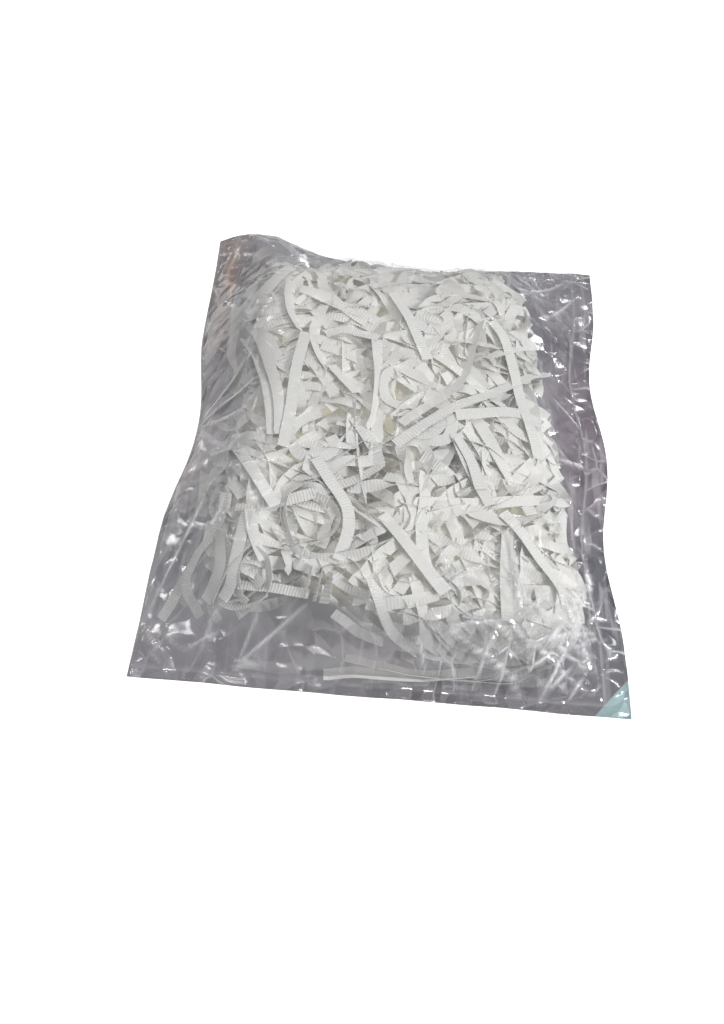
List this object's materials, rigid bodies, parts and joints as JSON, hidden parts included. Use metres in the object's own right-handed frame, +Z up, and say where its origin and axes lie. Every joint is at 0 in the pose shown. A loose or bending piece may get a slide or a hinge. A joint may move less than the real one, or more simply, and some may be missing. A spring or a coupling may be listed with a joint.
{
  "type": "bag of shredded paper",
  "caption": "Clear film bag of crinkle-cut white shredded paper, lying flat, with a welded side, foot and head.",
  "frame": {"origin": "on the table, under the middle of the bag", "axes": "+Z up from the table, +Y along the bag's length towards its head, +X across it towards the side weld"},
  "size_m": [0.2, 0.25, 0.0422],
  "materials": {
    "film": "gloss",
    "paper": "matte"
  },
  "bodies": {
    "root": {"film_bag": "film", "paper_strip_01": "paper", "paper_strip_02": "paper", "paper_strip_03": "paper", "paper_strip_04": "paper", "paper_strip_05": "paper", "paper_strip_06": "paper", "paper_strip_07": "paper", "paper_strip_08": "paper", "paper_strip_09": "paper", "paper_strip_10": "paper", "paper_strip_11": "paper", "paper_strip_12": "paper", "paper_strip_13": "paper", "paper_strip_14": "paper", "paper_strip_15": "paper", "paper_strip_16": "paper", "paper_strip_17": "paper", "paper_strip_18": "paper", "paper_strip_19": "paper", "paper_strip_20": "paper", "paper_strip_21": "paper", "paper_strip_22": "paper", "paper_strip_23": "paper", "paper_strip_24": "paper", "paper_strip_25": "paper", "paper_strip_26": "paper", "paper_strip_27": "paper", "paper_strip_28": "paper", "paper_strip_29": "paper", "paper_strip_30": "paper", "paper_strip_31": "paper", "paper_strip_32": "paper", "paper_strip_33": "paper", "paper_strip_34": "paper", "paper_strip_35": "paper", "paper_strip_36": "paper", "paper_strip_37": "paper", "paper_strip_38": "paper", "paper_strip_39": "paper", "paper_tangle": "paper"}
  },
  "joints": []
}
